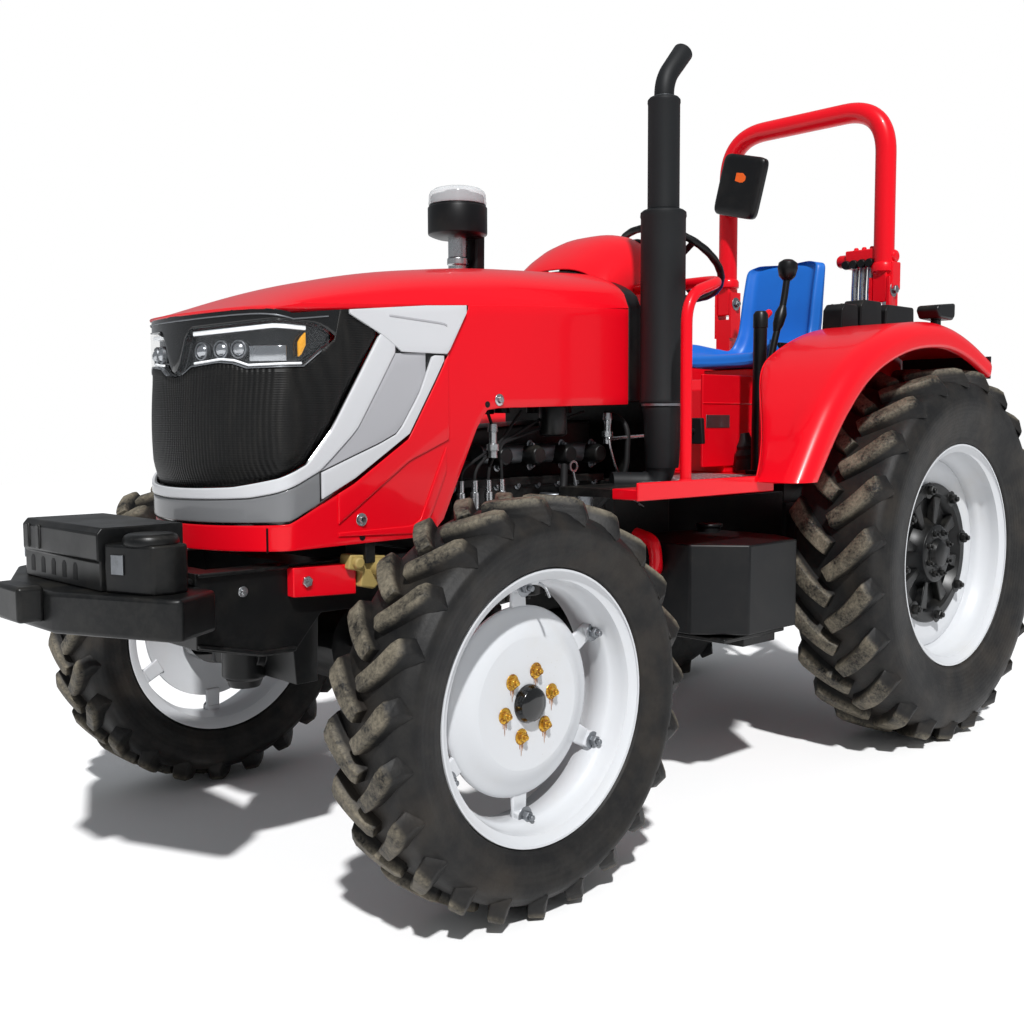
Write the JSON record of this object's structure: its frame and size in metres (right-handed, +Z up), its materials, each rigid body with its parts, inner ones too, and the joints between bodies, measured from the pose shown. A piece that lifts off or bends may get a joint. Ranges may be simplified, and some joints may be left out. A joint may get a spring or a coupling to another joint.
{
  "type": "farm tractor, open station, four-wheel drive",
  "caption": "Open-station four-wheel-drive farm tractor with folding rollbar, lifting hood, steered front axle and rear three-point linkage.",
  "frame": {"origin": "on the ground, under the middle of the tractor's overall length and width", "axes": "+X forward, +Y to the tractor's left, +Z up"},
  "size_m": [3.88, 1.74, 2.4508],
  "materials": {
    "red_paint": "gloss",
    "white_paint": "semi-gloss",
    "black_iron": "painted satin",
    "engine_iron": "painted satin, oily dust",
    "engine_steel": "satin",
    "bright_steel": "satin",
    "exhaust_black": "matte heat-proof paint",
    "moulded_black": "matte",
    "grille_mesh": "satin, fine ribs",
    "silver_trim": "gloss",
    "lamp_glass": "clear gloss over black",
    "tread_plate": "chequered, worn",
    "tank_plastic": "satin",
    "seat_blue": "satin moulded",
    "tyre_rubber": "matte with dusty lug crests"
  },
  "bodies": {
    "chassis": {"front_weights": "black_iron", "front_frame": "black_iron", "side_plates": "red_paint", "front_axle": "black_iron", "engine": "engine_iron", "engine_accessories": "engine_steel", "hood_sides": "red_paint", "grille": "grille_mesh", "grille_surround": "silver_trim", "headlamps": "lamp_glass", "muffler": "exhaust_black", "pre_cleaner": "moulded_black", "dash_cowl": "red_paint", "steering_column": "moulded_black", "gearbox": "black_iron", "rear_axle": "black_iron", "platform": "red_paint", "step_plates": "tread_plate", "fuel_tank": "tank_plastic", "battery_box": "tank_plastic", "fenders": "red_paint", "fender_consoles": "moulded_black", "seat": "seat_blue", "seat_pedestal": "red_paint", "controls": "moulded_black", "handrails": "red_paint", "rollbar_base": "red_paint", "remote_valve": "red_paint", "drawbar": "black_iron", "pto_shaft": "bright_steel", "tail_lamps": "moulded_black"},
    "hood": {"hood_top": "red_paint"},
    "rollbar": {"rollbar_hoop": "red_paint", "mirror": "moulded_black"},
    "steering_wheel": {"steering_wheel": "moulded_black"},
    "knuckle_left": {"knuckle_left": "black_iron"},
    "wheel_front_left": {"tyre_front_left": "tyre_rubber", "rim_front_left": "white_paint", "hub_front_left": "black_iron"},
    "wheel_rear_left": {"tyre_rear_left": "tyre_rubber", "rim_rear_left": "white_paint", "wheel_centre_rear_left": "black_iron"},
    "knuckle_right": {"knuckle_right": "black_iron"},
    "wheel_front_right": {"tyre_front_right": "tyre_rubber", "rim_front_right": "white_paint", "hub_front_right": "black_iron"},
    "wheel_rear_right": {"tyre_rear_right": "tyre_rubber", "rim_rear_right": "white_paint", "wheel_centre_rear_right": "black_iron"},
    "tie_rod": {"tie_rod": "bright_steel"},
    "lower_links": {"lower_links": "black_iron"},
    "lift_arms": {"lift_arms": "black_iron"},
    "lift_rods": {"lift_rods": "bright_steel"}
  },
  "joints": [
    {"name": "steer_left", "type": "hinge", "parent": "chassis", "child": "knuckle_left", "pos_m": [1.01, 0.59, 0.5], "axis": [0, 0, 1], "range_deg": [-35, 35]},
    {"name": "steer_right", "type": "hinge", "parent": "chassis", "child": "knuckle_right", "pos_m": [1.01, -0.59, 0.5], "axis": [0, 0, 1], "range_deg": [-36, 36]},
    {"name": "tie_rod_swing", "type": "hinge", "parent": "knuckle_left", "child": "tie_rod", "pos_m": [0.78, 0.59, 0.42], "axis": [0, 0, 1], "range_deg": [-36, 36]},
    {"name": "wheel_front_left_spin", "type": "hinge", "parent": "knuckle_left", "child": "wheel_front_left", "pos_m": [1.01, 0.745, 0.502], "axis": [0, 1, 0], "continuous": true},
    {"name": "wheel_front_right_spin", "type": "hinge", "parent": "knuckle_right", "child": "wheel_front_right", "pos_m": [1.01, -0.745, 0.502], "axis": [0, 1, 0], "continuous": true},
    {"name": "wheel_rear_left_spin", "type": "hinge", "parent": "chassis", "child": "wheel_rear_left", "pos_m": [-1.157, 0.667, 0.682], "axis": [0, 1, 0], "continuous": true},
    {"name": "wheel_rear_right_spin", "type": "hinge", "parent": "chassis", "child": "wheel_rear_right", "pos_m": [-1.157, -0.667, 0.682], "axis": [0, 1, 0], "continuous": true},
    {"name": "steering_wheel_turn", "type": "hinge", "parent": "chassis", "child": "steering_wheel", "pos_m": [-0.49, 0, 1.75], "axis": [-0.5736, 0, 0.8192], "range_deg": [-540, 540]},
    {"name": "hood_lift", "type": "hinge", "parent": "chassis", "child": "hood", "pos_m": [0.16, 0, 1.65], "axis": [0, -1, 0], "range_deg": [0, 45]},
    {"name": "rollbar_fold", "type": "hinge", "parent": "chassis", "child": "rollbar", "pos_m": [-1.37, 0, 1.69], "axis": [0, -1, 0], "range_deg": [0, 95]},
    {"name": "hitch_lift", "type": "hinge", "parent": "chassis", "child": "lower_links", "pos_m": [-1.29, 0, 0.44], "axis": [0, 1, 0], "range_deg": [-10, 32]},
    {"name": "lift_arm_swing", "type": "hinge", "parent": "chassis", "child": "lift_arms", "pos_m": [-1.29, 0, 0.93], "axis": [0, 1, 0], "range_deg": [-14, 43]},
    {"name": "lift_rod_swing", "type": "hinge", "parent": "lift_arms", "child": "lift_rods", "pos_m": [-1.56, 0, 0.985], "axis": [0, 1, 0], "range_deg": [-43, 14]}
  ],
  "couplings": [
    {"joint": "steer_right", "follows": "steer_left", "ratio": 1},
    {"joint": "tie_rod_swing", "follows": "steer_left", "ratio": -1},
    {"joint": "steering_wheel_turn", "follows": "steer_left", "ratio": 15},
    {"joint": "lift_arm_swing", "follows": "hitch_lift", "ratio": 1.33},
    {"joint": "lift_rod_swing", "follows": "hitch_lift", "ratio": -1.33}
  ]
}
